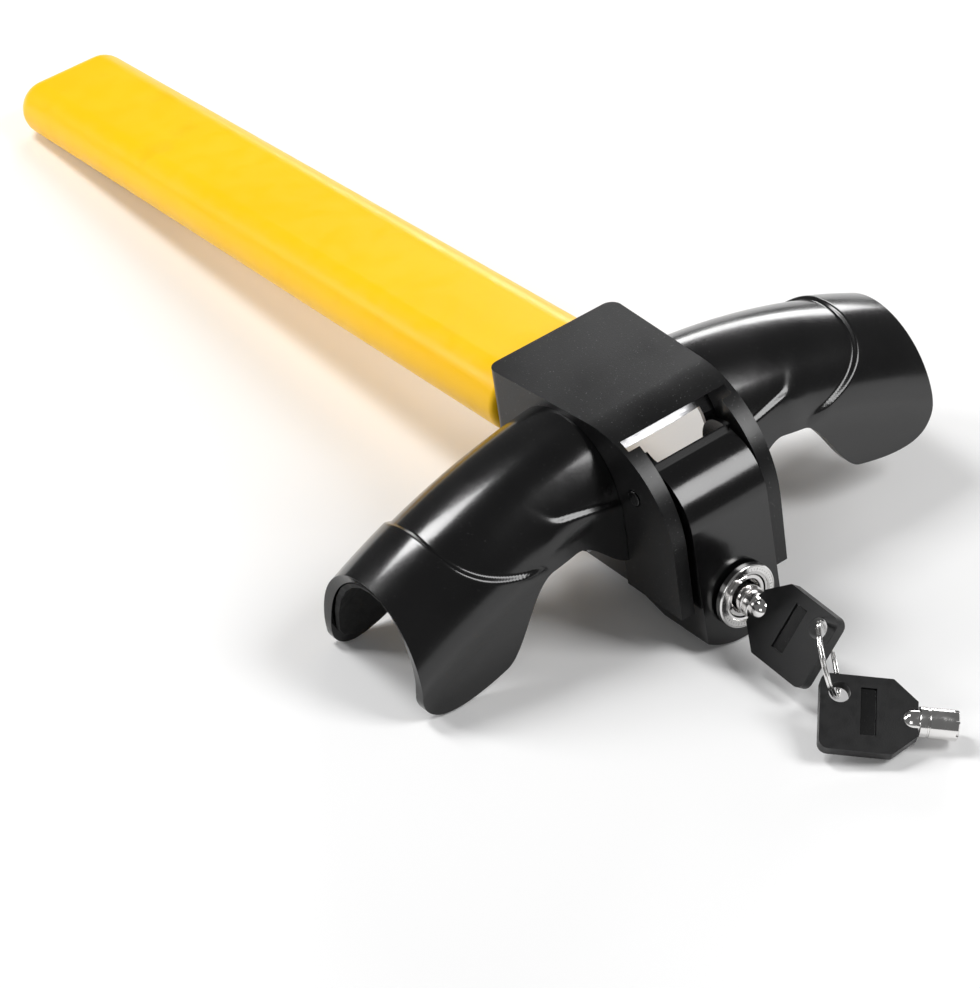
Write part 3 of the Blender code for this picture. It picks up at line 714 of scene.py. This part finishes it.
def build_cover():
    """The side view as a wide plate, trimmed to the plan and opened for the jaw, channel and pin."""
    cheek_y = COVER_FRONT + CHEEK_R
    side_view = [(COVER_BACK, COVER_TOP)]
    side_view += arc((cheek_y, COVER_TOP - CHEEK_R), CHEEK_R, 90, 180, 40)
    side_view += [(COVER_FRONT, CHEEK_LOW_FRONT), (CHEEK_BACK_Y, CHEEK_LOW_BACK),
                  (CHEEK_BACK_Y, WALL_LOW), (COVER_BACK, WALL_LOW)]
    cover = outline("cover", [side_view], COVER_W_BACK + TRIM_MARGIN)
    corner_x = COVER_W_BACK - COVER_CORNER
    corner_y = COVER_BACK - COVER_CORNER
    front_y = COVER_FRONT - TRIM_MARGIN
    plan = arc((corner_x, corner_y), COVER_CORNER, -COVER_LEAN, 90, 10)
    plan += arc((-corner_x, corner_y), COVER_CORNER, 90, 180 + COVER_LEAN, 10)
    plan += [(-cover_half_width(front_y), front_y), (cover_half_width(front_y), front_y)]
    cover = combine(cover, [outline("plan", [plan], TRIM_HALF, axis="Z")], "INTERSECT")
    pocket_in, pocket_out = BOLT_POCKET
    plate_low = COVER_TOP - PLATE_T
    cover = cut(cover,
                block((-WINDOW_HALF, -THROUGH, -THROUGH), (WINDOW_HALF, WINDOW_BACK, THROUGH)),
                block((-BODY_HALF, WINDOW_BACK - OVERLAP, -THROUGH), (BODY_HALF, THROUGH, plate_low)),
                rod(CHANNEL_R, (-THROUGH_X, 0, 0), (THROUGH_X, 0, 0), 96),
                block((-THROUGH_X, -CHANNEL_R, -THROUGH), (THROUGH_X, CHANNEL_R, CHANNEL_MOUTH_Z)),
                rod(PIN_R + PIN_GAP, (-THROUGH_X, PIVOT_Y, PIVOT_Z), (THROUGH_X, PIVOT_Y, PIVOT_Z)),
                block((pocket_in, -BOLT_FAR, BOLT_LOW), (pocket_out, -BOLT_NEAR, BOLT_HIGH)))
    cover = soften(cover, COVER_EDGE, segments=4)
    finish_piece(cover, "saddle_and_bar", SATIN, ["cover_shell"])


# ---- bar ----------------------------------------------------------------------------------------

def flat_oval(half_width, radius, count=20):
    straight = half_width - radius
    return (arc((straight, 0), radius, -90, 90, count)
            + arc((-straight, 0), radius, 90, 270, count))


def sleeve_sections(lip_steps=8, straight_steps=40, round_steps=15):
    """(along, half width, half thickness) of the sleeve's rings, rounded at both ends."""
    length = BAR_END - BAR_Y
    straight = length - BAR_ROUND - BAR_LIP
    places = []
    for k in range(lip_steps, -1, -1):
        angle = math.radians(90 * k / lip_steps)
        places.append((BAR_LIP * (1 - math.sin(angle)), BAR_LIP * (1 - math.cos(angle))))
    places += [(BAR_LIP + straight * k / straight_steps, 0.0) for k in range(1, straight_steps)]
    for k in range(round_steps):
        angle = math.radians(90 * k / round_steps)
        inset = BAR_ROUND * (1 - math.cos(angle)) * BAR_ROUND_SQUASH
        places.append((length - BAR_ROUND * (1 - math.sin(angle)), inset))
    sections = []
    for along, inset in places:
        share = along / length
        sections.append((along, BAR_W[0] + (BAR_W[1] - BAR_W[0]) * share - inset,
                         BAR_T[0] + (BAR_T[1] - BAR_T[0]) * share - inset))
    return sections


def build_sleeve():
    """A loft through the sections, with a flat oval bore for the steel core."""
    bm = bmesh.new()
    loops = []
    for along, width, thick in sleeve_sections():
        loops.append([bm.verts.new((x, along, z)) for x, z in flat_oval(width, thick)])
    for near, far in zip(loops, loops[1:]):
        for k in range(len(near)):
            j = (k + 1) % len(near)
            bm.faces.new((near[k], near[j], far[j], far[k]))
    bm.faces.new(loops[0])
    bm.faces.new(loops[-1][::-1])
    sleeve = from_bmesh("bar_padding", bm)
    bore = outline("bore", [flat_oval(BORE_W, BORE_T)], (BORE_END + BORE_MARGIN) / 2, axis="Y")
    bore.data.transform(Matrix.Translation((0, (BORE_END - BORE_MARGIN) / 2, 0)))
    sleeve = cut(sleeve, bore)
    finish_piece(sleeve, "saddle_and_bar", YELLOW, ["bar_sleeve"], BAR_AXES, sharp_angle=50)


# ---- jaw ----------------------------------------------------------------------------------------

def jaw_side_view():
    """(y, z) points: over the drum, down the face, back along the underside, cradle and hinge ears."""
    points = arc((DRUM_Y, DRUM_Z), DRUM_R, DRUM_START, 180, 36)
    lip_z = FACE_LOW_Z - LIP_DROP
    points += [(FACE_LOW_Y, lip_z), (FACE_LOW_Y + LIP_LEN, lip_z)]
    points += JAW_UNDERSIDE
    points += arc((0, 0), CRADLE_R, -58, -165, 40)
    points += arc((PIVOT_Y, PIVOT_Z), EAR_R, -8, 104, 24)
    return points


def jaw_hollow():
    """The room behind the drum and the face, open towards the rim."""
    drum = arc((DRUM_Y, DRUM_Z), DRUM_R - JAW_WALL, DRUM_START, 180, 30)
    back_y = HOLLOW_UNDERSIDE[-1][0]
    return drum + HOLLOW_UNDERSIDE + [(back_y, HOLLOW_TOP), (drum[0][0], HOLLOW_TOP)]


def lip_trim():
    """Cutter that leaves the jaw's lower lip as a shallow arc across."""
    radius = (JAW_HALF ** 2 + LIP_DROP ** 2) / (2 * LIP_DROP)
    wide = 1.1 * JAW_HALF
    spread = math.degrees(math.asin(wide / radius))
    trim_low = FACE_LOW_Z - TRIM_DROP
    trim = arc((0, FACE_LOW_Z + radius - LIP_DROP), radius, -90 + spread, -90 - spread, 40)
    trim += [(-wide, trim_low), (wide, trim_low)]
    cutter = outline("lip_trim", [trim], LIP_TRIM_HALF, axis="Y")
    cutter.data.transform(Matrix.Translation((0, LIP_TRIM_Y, 0)))
    return cutter


def build_jaw():
    jaw = outline("jaw", [jaw_side_view()], JAW_HALF)
    bore_front, bore_back = LOCK_BORE_Y
    window_in, window_out = BOLT_WINDOW
    jaw = cut(jaw, lip_trim(),
              outline("hollow", [jaw_hollow()], JAW_HALF - JAW_WALL),
              rod(BODY_R + BODY_GAP, (0, bore_front, LOCK_Z), (0, bore_back, LOCK_Z), 64),
              rod(BUSH_R, (-THROUGH_JAW, PIVOT_Y, PIVOT_Z), (THROUGH_JAW, PIVOT_Y, PIVOT_Z)),
              block((window_in, -BOLT_FAR, BOLT_LOW), (window_out, -BOLT_NEAR, BOLT_HIGH)))
    jaw = soften(jaw, JAW_EDGE, segments=3)
    finish_piece(jaw, "jaw", GLOSS, ["jaw_shell"])


def build_pivot():
    """A smooth pin riveted over almost flush with the cheeks, and the spring's close coils."""
    profile = [(PIN_R * math.cos(math.radians(a)), PIN_REACH + PIN_CROWN * math.sin(math.radians(a)))
               for a in range(90, -1, -10)]
    profile += [(r, -h) for r, h in reversed(profile)]
    pin = turned("pivot_rivet", profile, closed=False)
    sideways = Matrix.Translation((0, PIVOT_Y, PIVOT_Z)) @ Matrix.Rotation(math.pi / 2, 4, "Y")
    finish_piece(pin, "saddle_and_bar", GLOSS, ["pivot_pin"], sideways)
    steps = 40
    points = []
    for i in range(COIL_TURNS * steps + 1):
        angle = 2 * math.pi * i / steps
        along = (i / steps - COIL_TURNS / 2) * COIL_PITCH
        points.append((along, PIVOT_Y + COIL_R * math.cos(angle), PIVOT_Z + COIL_R * math.sin(angle)))
    spring = wire("spring_coil", points, COIL_WIRE_R)
    finish_piece(spring, "saddle_and_bar", STEEL, ["jaw_spring"], sharp_angle=60)


# ---- lock ---------------------------------------------------------------------------------------

def facing():
    """Places a turned part so that its heights run from the rim's plane towards the driver."""
    return Matrix.Translation((0, 0, LOCK_Z)) @ Matrix.Rotation(math.pi / 2, 4, "X")


def build_lock_face():
    """Chromed flange with two grooves and a dished inner ring, and the ring of plain tick marks."""
    inner = BODY_R + BODY_GAP
    profile = [(inner, DISH_LOW)] + DISH_RIM
    for radius in GROOVE_RADII:
        profile += groove(radius)
    profile += arc((FLANGE_R - FLANGE_ROUND, FLANGE_FRONT - FLANGE_ROUND), FLANGE_ROUND, 90, 0, 6)
    chamfer_in, chamfer_up = FLANGE_CHAMFER
    profile += [(FLANGE_R, FLANGE_BACK + chamfer_up), (FLANGE_R - chamfer_in, FLANGE_BACK),
                (inner, FLANGE_BACK)]
    flange = turned("lock_flange", profile, 128)
    finish_piece(flange, "jaw", CHROME, ["lock_escutcheon"], facing(), sharp_angle=30)
    half_x, short_half, half_z = TICK_HALF
    marks = []
    for k in range(TICK_COUNT):
        half = LONG_TICK_HALF if k % 4 == 0 else short_half
        mark = block((-half_x, TICK_R - half, FLANGE_FRONT - half_z),
                     (half_x, TICK_R + half, FLANGE_FRONT + half_z))
        mark.data.transform(Matrix.Rotation(2 * math.pi * k / TICK_COUNT, 4, "Z"))
        marks.append(mark)
    ring = joined("lock_ticks", marks)
    finish_piece(ring, "jaw", MARKS, place=facing())


def groove(radius, width=0.22, depth=0.16, slope=0.03):
    """Four profile points of a small turned groove in the flange's front."""
    return [(radius, FLANGE_FRONT), (radius + slope, FLANGE_FRONT - depth),
            (radius + width - slope, FLANGE_FRONT - depth), (radius + width, FLANGE_FRONT)]


def build_lock_body():
    chamfer = 0.2
    body = [(BODY_BORE_R, BODY_FRONT - chamfer), (BODY_BORE_R + chamfer, BODY_FRONT),
            (BODY_R - chamfer, BODY_FRONT), (BODY_R, BODY_FRONT - chamfer),
            (BODY_R, BODY_BACK + chamfer), (BODY_R - chamfer, BODY_BACK), (BODY_BORE_R, BODY_BACK)]
    housing = turned("lock_barrel_housing", body)
    finish_piece(housing, "jaw", CHROME, ["lock_body"], facing(), sharp_angle=30)


# ---- keys ---------------------------------------------------------------------------------------

def key_axes(neck, across, along):
    """Local X across the grip, local Y towards the barrel's tip."""
    across = (across - along * across.dot(along)).normalized()
    turn = Matrix((across, along, across.cross(along))).transposed()
    return Matrix.Translation(neck) @ turn.to_4x4()


def seated_key():
    """The key in the lock, sagging about the middle of its seat on the plug's post."""
    droop, turn = math.radians(KEY_DROOP), math.radians(KEY_TURN)
    along = Vector((0, math.cos(droop), math.sin(droop)))
    seat = (POST_FRONT + BOW_FRONT - BARREL_LEN) / 2
    neck = Vector((0, -seat, LOCK_Z)) - along * (BOW_FRONT - seat)
    return key_axes(neck, Vector((math.cos(turn), 0, math.sin(turn))), along)


def spare_key():
    """The loose key, leaning on the ring, with its heading and dip told from the true level."""
    up = (POSE.to_3x3().inverted() @ Vector((0, 0, 1))).normalized()
    azimuth, lean, dip = (math.radians(a) for a in (SPARE_AZIMUTH, SPARE_LEAN, SPARE_DIP))
    heading = Vector((math.cos(azimuth), math.sin(azimuth), 0))
    heading = (heading - up * heading.dot(up)).normalized()
    level = up.cross(heading)
    along = heading * math.cos(dip) - up * math.sin(dip)
    across = level * math.cos(lean) + along.cross(level) * math.sin(lean)
    return key_axes(SPARE_NECK, across, along)


def bow_outline():
    inner, far = BOW_HALF - BOW_CORNER, BOW_CORNER - BOW_LEN
    shoulder = -BOW_SHOULDER - BOW_NECK_DROP
    points = [(BOW_NECK, 0), (-BOW_NECK, 0)]
    points += arc((BOW_SHOULDER_R - BOW_HALF, shoulder), BOW_SHOULDER_R, 135, 180, 4)
    points += arc((-inner, far), BOW_CORNER, 180, 270, 12)
    points += arc((inner, far), BOW_CORNER, 270, 360, 12)
    points += arc((BOW_HALF - BOW_SHOULDER_R, shoulder), BOW_SHOULDER_R, 0, 45, 4)
    return points


def build_grip(prefix, body, place):
    """Moulded grip with rounded edges, a ring hole, and a sunk field with a plain inlay on each side."""
    hole = arc(BOW_HOLE, BOW_HOLE_R, 0, -351, 39)
    bow = soften(outline(prefix + "_grip", [bow_outline(), hole], BOW_T / 2, axis="Z"), BOW_EDGE)
    floor, proud = BOW_T / 2 - FIELD_DEPTH, BOW_T / 2 + 1
    bow = cut(bow, block((*FIELD_LOW, floor), (*FIELD_HIGH, proud)),
              block((*FIELD_LOW, -proud), (*FIELD_HIGH, -floor)))
    finish_piece(bow, body, PLASTIC, [prefix + "_bow"], place)
    inlay_low = [value + INLAY_GAP for value in FIELD_LOW]
    inlay_high = [value - INLAY_GAP for value in FIELD_HIGH]
    inlay_top = floor + INLAY_RISE
    inlay = soften(block((*inlay_low, -inlay_top), (*inlay_high, inlay_top)), INLAY_EDGE, segments=2)
    inlay.name = prefix + "_inlay"
    finish_piece(inlay, body, GLOSS, place=place)


def tube_profile():
    """The key's tube from its bore's floor over the mouth and a neck groove to the domed root."""
    step = TUBE_STEP
    neck_r = KEY_R - TUBE_GROOVE_DEPTH
    groove_high, groove_low = TUBE_GROOVE
    profile = [(0, TUBE_FLOOR), (KEY_BORE_R, TUBE_FLOOR), (KEY_BORE_R, BARREL_LEN - step),
               (KEY_BORE_R + step, BARREL_LEN), (KEY_R - TUBE_CHAMFER, BARREL_LEN),
               (KEY_R, BARREL_LEN - TUBE_CHAMFER), (KEY_R, groove_high), (neck_r, groove_high - step),
               (neck_r, groove_low + step), (KEY_R, groove_low), (KEY_R, TUBE_LOW),
               (KEY_R - step, TUBE_LOW - step), (ROOT_R, ROOT_TOP)]
    for angle in range(0, 91, 15):
        profile.append((ROOT_R * math.cos(math.radians(angle)),
                        -ROOT_DEPTH - ROOT_R * math.sin(math.radians(angle))))
    return profile


def build_tube(prefix, body, place):
    """The key's tube, with the cuts in its mouth that push the tumblers to their depths."""
    barrel = turned(prefix + "_tube", tube_profile(), closed=False)
    notches = []
    for k in range(CUT_COUNT):
        angle = 2 * math.pi * k / CUT_COUNT
        floor = BARREL_LEN - (CUT_DEPTH + CUT_DEPTH_STEP * ((k * 3) % 4))
        x, y = (KEY_R + 0.1) * math.cos(angle), (KEY_R + 0.1) * math.sin(angle)
        notches.append(rod(CUT_R, (x, y, floor), (x, y, BARREL_LEN + 1), 16))
    barrel = cut(barrel, *notches)
    barrel.data.transform(Matrix.Rotation(-math.pi / 2, 4, "X"))
    finish_piece(barrel, body, CHROME, [prefix + "_barrel"], place, sharp_angle=30)


def build_ring(steps=150):
    """Split ring: almost two turns of flat-laid wire that cross over where the ends lie."""
    points, tapers = [], []
    for i in range(steps + 1):
        share = i / steps
        angle = 2 * math.pi * RING_TURNS * share
        side = ease(share, *RING_CROSSING, -1, 1) * RING_WIRE
        points.append((RING_R * math.cos(angle), RING_R * math.sin(angle), side))
        tapers.append(min(1.0, RING_TIP + RING_TAPER * min(share, 1 - share)))
    ring = wire("split_ring", points, RING_WIRE * 0.97, tapers)
    turn = RING_NORMAL.to_track_quat("Z", "Y").to_matrix().to_4x4()
    place = Matrix.Translation(RING_CENTRE) @ turn
    finish_piece(ring, "ring", CHROME, ["key_ring"], place, sharp_angle=60)


# ---- carried CAD nodes --------------------------------------------------------------------------

def dress_cad_nodes():
    """Better materials and softened edges for the nodes whose CAD shape is already right."""
    looks = {"rim_channel": STEEL, "rim_pad": RUBBER, "liner_left": RUBBER, "liner_right": RUBBER,
             "bar_core": STEEL, "bar_spigot": STEEL, "bar_end_plug": PLASTIC, "bar_bracket": STEEL,
             "bar_rivet_front": STEEL, "bar_rivet_rear": STEEL, "jaw_cradle": STEEL,
             "jaw_pad": RUBBER, "pivot_bush_left": BRASS, "pivot_bush_right": BRASS,
             "lock_nut": STEEL, "lock_plug": CHROME, "deadbolt": STEEL, "drive_pinion": BRASS}
    looks.update({name: BRASS for name in frame["nodes"] if name.startswith("tumbler_pin_")})
    for name, mat in looks.items():
        node = frame["nodes"][name]
        node.data.materials.clear()
        node.data.materials.append(mat)
        weld = node.modifiers.new("weld", "WELD")
        weld.merge_threshold = CAD_WELD
        edge = node.modifiers.new("edge", "BEVEL")
        edge.width = CAD_EDGE
        edge.segments = 2
        edge.limit_method = "ANGLE"
        edge.angle_limit = math.radians(35)


# ---- studio -------------------------------------------------------------------------------------

def build_floor():
    bm = bmesh.new()
    bmesh.ops.create_grid(bm, x_segments=1, y_segments=1, size=FLOOR_HALF)
    bmesh.ops.translate(bm, vec=(0, 0, cad_box[0].z - FLOOR_GAP), verts=bm.verts)
    floor = from_bmesh("studio_floor", bm, recalculate=False)
    look = Look("studio_floor")
    look.colour(look.mix(look.noise(3.0), (0.90, 0.90, 0.90), (0.93, 0.93, 0.93)))
    look.shader.inputs["Roughness"].default_value = 0.9
    floor.data.materials.append(look.mat)


def softbox(name, way, distance, size, radiance):
    """A rectangular light that faces the lock from a direction, equally bright all over."""
    data = bpy.data.lights.new(name, "AREA")
    data.shape = "RECTANGLE"
    data.size, data.size_y = size
    data.energy = radiance * math.pi * size[0] * size[1]
    light = bpy.data.objects.new(name, data)
    way = Vector(way).normalized()
    light.location = way * distance
    light.rotation_euler = (-way).to_track_quat("-Z", "Y").to_euler()
    bpy.context.scene.collection.objects.link(light)


def build_lights():
    """A dim white room and five softboxes, placed for the highlights on the glossy curves."""
    scene = bpy.context.scene
    world = bpy.data.worlds.new("studio_air")
    world.use_nodes = True
    world.node_tree.nodes["Background"].inputs["Color"].default_value = (1.0, 1.0, 1.0, 1.0)
    world.node_tree.nodes["Background"].inputs["Strength"].default_value = 0.15
    scene.world = world
    scene.view_settings.view_transform = "Standard"
    softbox("overhead", (-0.25, 0.48, 0.86), 1.4, (0.30, 0.50), 20)
    softbox("front_right", (0.41, -0.55, 0.72), 1.4, (0.50, 0.72), 9)
    softbox("low_back_right", (0.72, 0.66, 0.28), 1.6, (0.9, 0.30), 10)
    softbox("back_left", (-0.59, 0.63, 0.46), 1.6, (0.4, 0.5), 15)
    softbox("front_left", (-0.80, -0.55, 0.45), 1.6, (0.5, 0.5), 3)


def build_camera():
    """Level but for a small roll, aimed beside the middle of the rim as the picture is framed."""
    turn = Matrix.Rotation(math.radians(-CAMERA_AZIMUTH), 4, "Z")
    turn = turn @ Matrix.Rotation(math.radians(90 - CAMERA_ELEVATION), 4, "X")
    turn = turn @ Matrix.Rotation(math.radians(CAMERA_ROLL), 4, "Z")
    aim = POSE.translation
    shift = Vector((CAMERA_SLIDE[0], CAMERA_SLIDE[1], CAMERA_DISTANCE))
    data = bpy.data.cameras.new("photo_camera")
    data.lens = CAMERA_LENS
    data.sensor_width = 36.0
    data.clip_start = 0.05
    camera = bpy.data.objects.new("photo_camera", data)
    camera.matrix_world = Matrix.Translation(aim + turn.to_3x3() @ shift) @ turn
    bpy.context.scene.collection.objects.link(camera)
    bpy.context.scene.camera = camera


build_camera()
build_lights()
build_floor()
for arm_name, arm_side in (("arm_left", -1), ("arm_right", 1)):
    build_arm(arm_name, arm_side)
build_cover()
build_sleeve()
build_jaw()
build_pivot()
build_lock_face()
build_lock_body()
for key_name, key_place in (("key", seated_key()), ("spare_key", spare_key())):
    build_grip(key_name, key_name, key_place)
    build_tube(key_name, key_name, key_place)
build_ring()
dress_cad_nodes()
